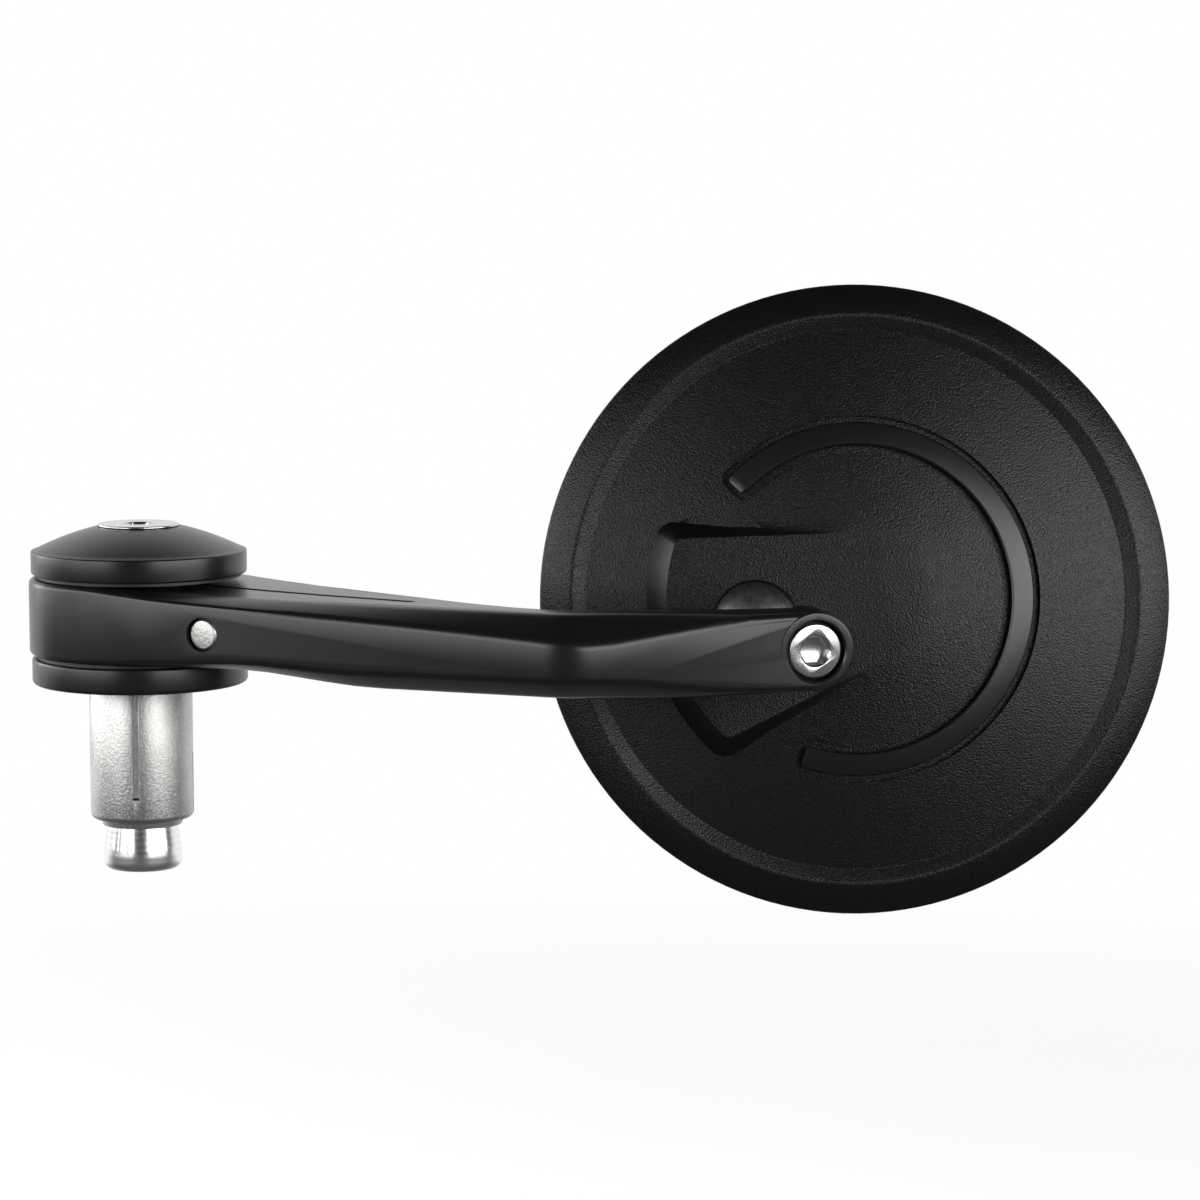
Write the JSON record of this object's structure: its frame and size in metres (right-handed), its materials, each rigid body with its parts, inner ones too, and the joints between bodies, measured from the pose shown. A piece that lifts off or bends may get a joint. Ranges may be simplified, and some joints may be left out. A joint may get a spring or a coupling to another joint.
{
  "type": "motorcycle bar end mirror",
  "caption": "Round convex mirror whose ball joint sits on a split dog-leg arm, clamped outside an expanding plug that fits into a handlebar's open end.",
  "frame": {"origin": "on the handlebar's axis at the face of the flange that lies against the bar's end", "axes": "+Z along the bar's axis out of its end, +X from the bar to the mirror head, the head's back faces -Y and its glass faces +Y"},
  "size_m": [0.1758, 0.059, 0.097],
  "materials": {
    "black_alloy": "satin black coating",
    "black_steel": "blackened, satin",
    "black_polymer": "matt",
    "zinc_steel": "zinc plated, satin",
    "polished_steel": "polished",
    "stainless": "stainless, fine turned",
    "pale_polymer": "moulded, smooth",
    "grained_black": "fine leather grain",
    "satin_black": "satin",
    "black_foam": "foam",
    "mirror": "silvered glass"
  },
  "bodies": {
    "mount": {"flange_spigot": "black_alloy", "expander_sleeve": "zinc_steel", "top_cap": "black_alloy", "lower_slip_ring": "black_polymer", "upper_slip_ring": "black_polymer"},
    "expander": {"expander_screw": "stainless"},
    "nut": {"cone_nut": "polished_steel"},
    "arm_unit": {"arm": "black_alloy", "clamp_screw": "zinc_steel", "pivot_screw": "stainless", "lock_washer": "stainless", "ball_stud": "black_steel"},
    "cup": {"ball_cup": "pale_polymer"},
    "ring": {"thrust_ring": "stainless"},
    "head": {"head_housing": "grained_black", "trim_arc": "satin_black", "glass_pad": "black_foam", "mirror_glass": "mirror", "disc_spring": "stainless", "socket_plate": "stainless", "plate_screws": "stainless"}
  },
  "joints": [
    {"name": "expander_turn", "type": "hinge", "parent": "mount", "child": "expander", "pos_m": [0, 0, 0], "axis": [0, 0, -1], "range_deg": [0, 541]},
    {"name": "nut_climb", "type": "slide", "parent": "mount", "child": "nut", "axis": [0, 0, 1], "range_m": [0, 0.0015]},
    {"name": "arm_swing", "type": "hinge", "parent": "mount", "child": "arm_unit", "pos_m": [0, 0, 0.01045], "axis": [0, 0, 1], "continuous": true},
    {"name": "head_pan", "type": "hinge", "parent": "arm_unit", "child": "cup", "pos_m": [0.0947, -0.00489, 0.00929], "axis": [0, 0, 1], "range_deg": [-15, 15]},
    {"name": "head_tilt", "type": "hinge", "parent": "cup", "child": "ring", "pos_m": [0.0947, -0.00489, 0.00929], "axis": [1, 0, 0], "range_deg": [-15, 15]},
    {"name": "head_turn", "type": "hinge", "parent": "ring", "child": "head", "pos_m": [0.0947, -0.00489, 0.00929], "axis": [0, -0.993, 0.1184], "range_deg": [-60, 60]}
  ],
  "couplings": [
    {"joint": "expander_turn", "follows": "nut_climb", "rad_per_m": 6283.2}
  ]
}
